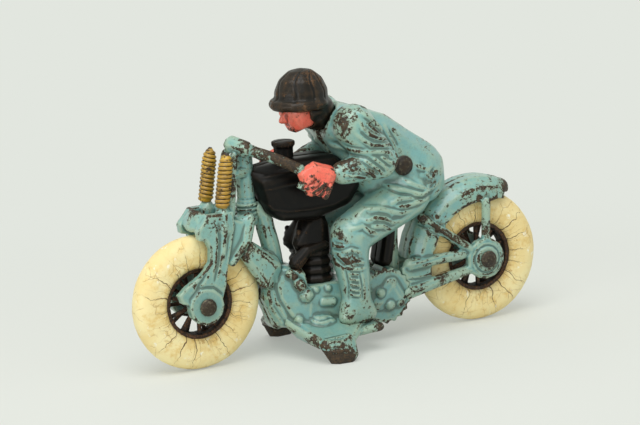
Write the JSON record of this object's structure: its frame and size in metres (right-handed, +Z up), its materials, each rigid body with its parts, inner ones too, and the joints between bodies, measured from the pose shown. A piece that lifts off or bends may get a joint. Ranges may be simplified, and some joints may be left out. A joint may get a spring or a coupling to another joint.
{
  "type": "cast toy motorcycle with rider",
  "caption": "Painted cast-iron toy motorcycle with a crouched rider, rubber tyres that roll on peened axles and a head that turns in its collar.",
  "frame": {"origin": "on the ground under the middle of the object, between the wheels", "axes": "+X forward along the motorcycle, +Y to the rider's left, +Z up"},
  "size_m": [0.217, 0.0758, 0.1378],
  "materials": {
    "blue_enamel": "gloss enamel, chipped to brown iron",
    "black_enamel": "gloss black enamel with brown wear",
    "coral_enamel": "satin coral enamel",
    "gold_paint": "dull gold paint, worn in the grooves",
    "bare_iron": "brown patina",
    "wheel_iron": "dark brown patina",
    "tyre_rubber": "aged white rubber, cracked"
  },
  "bodies": {
    "chassis": {"left_fork_spring": "gold_paint", "right_fork_spring": "gold_paint", "left_handlebar": "blue_enamel", "right_handlebar": "blue_enamel", "left_steering_head": "blue_enamel", "right_steering_head": "blue_enamel", "left_fork": "blue_enamel", "right_fork": "blue_enamel", "left_rider_arm": "blue_enamel", "right_rider_arm": "blue_enamel", "left_rider_hand": "coral_enamel", "right_rider_hand": "coral_enamel", "left_rider_leg": "blue_enamel", "right_rider_leg": "blue_enamel", "left_rider_torso": "blue_enamel", "right_rider_torso": "blue_enamel", "left_fuel_tank": "black_enamel", "right_fuel_tank": "black_enamel", "left_filler_cap": "black_enamel", "right_filler_cap": "black_enamel", "left_engine": "black_enamel", "right_engine": "black_enamel", "left_crankcase": "blue_enamel", "right_crankcase": "blue_enamel", "left_stand": "blue_enamel", "right_stand": "blue_enamel", "left_footboard": "blue_enamel", "right_footboard": "blue_enamel", "left_down_tube": "blue_enamel", "right_down_tube": "blue_enamel", "left_cradle": "blue_enamel", "right_cradle": "blue_enamel", "left_gear_case": "blue_enamel", "right_gear_case": "blue_enamel", "left_seat_tube": "blue_enamel", "right_seat_tube": "blue_enamel", "left_oil_tank": "black_enamel", "right_oil_tank": "black_enamel", "left_chain_stay": "blue_enamel", "right_chain_stay": "blue_enamel", "left_seat_stay": "blue_enamel", "right_seat_stay": "blue_enamel", "left_rear_fender": "blue_enamel", "right_rear_fender": "blue_enamel", "front_axle": "bare_iron", "rear_axle": "bare_iron", "hip_rivet": "bare_iron", "left_exhaust_elbow": "black_enamel"},
    "front_wheel": {"front_tyre": "tyre_rubber", "front_wheel_left": "wheel_iron", "front_wheel_right": "wheel_iron"},
    "rear_wheel": {"rear_tyre": "tyre_rubber", "rear_wheel_left": "wheel_iron", "rear_wheel_right": "wheel_iron"},
    "rider_head": {"rider_face": "coral_enamel", "rider_helmet": "black_enamel"}
  },
  "joints": [
    {"name": "front_wheel_spin", "type": "hinge", "parent": "chassis", "child": "front_wheel", "pos_m": [0.076, 0, 0.0325], "axis": [0, 1, 0], "continuous": true},
    {"name": "rear_wheel_spin", "type": "hinge", "parent": "chassis", "child": "rear_wheel", "pos_m": [-0.076, 0, 0.0325], "axis": [0, 1, 0], "continuous": true},
    {"name": "head_turn", "type": "hinge", "parent": "chassis", "child": "rider_head", "pos_m": [0.0035, 0, 0.1114], "axis": [0.6561, 0, 0.7547], "range_deg": [-40, 40]}
  ]
}
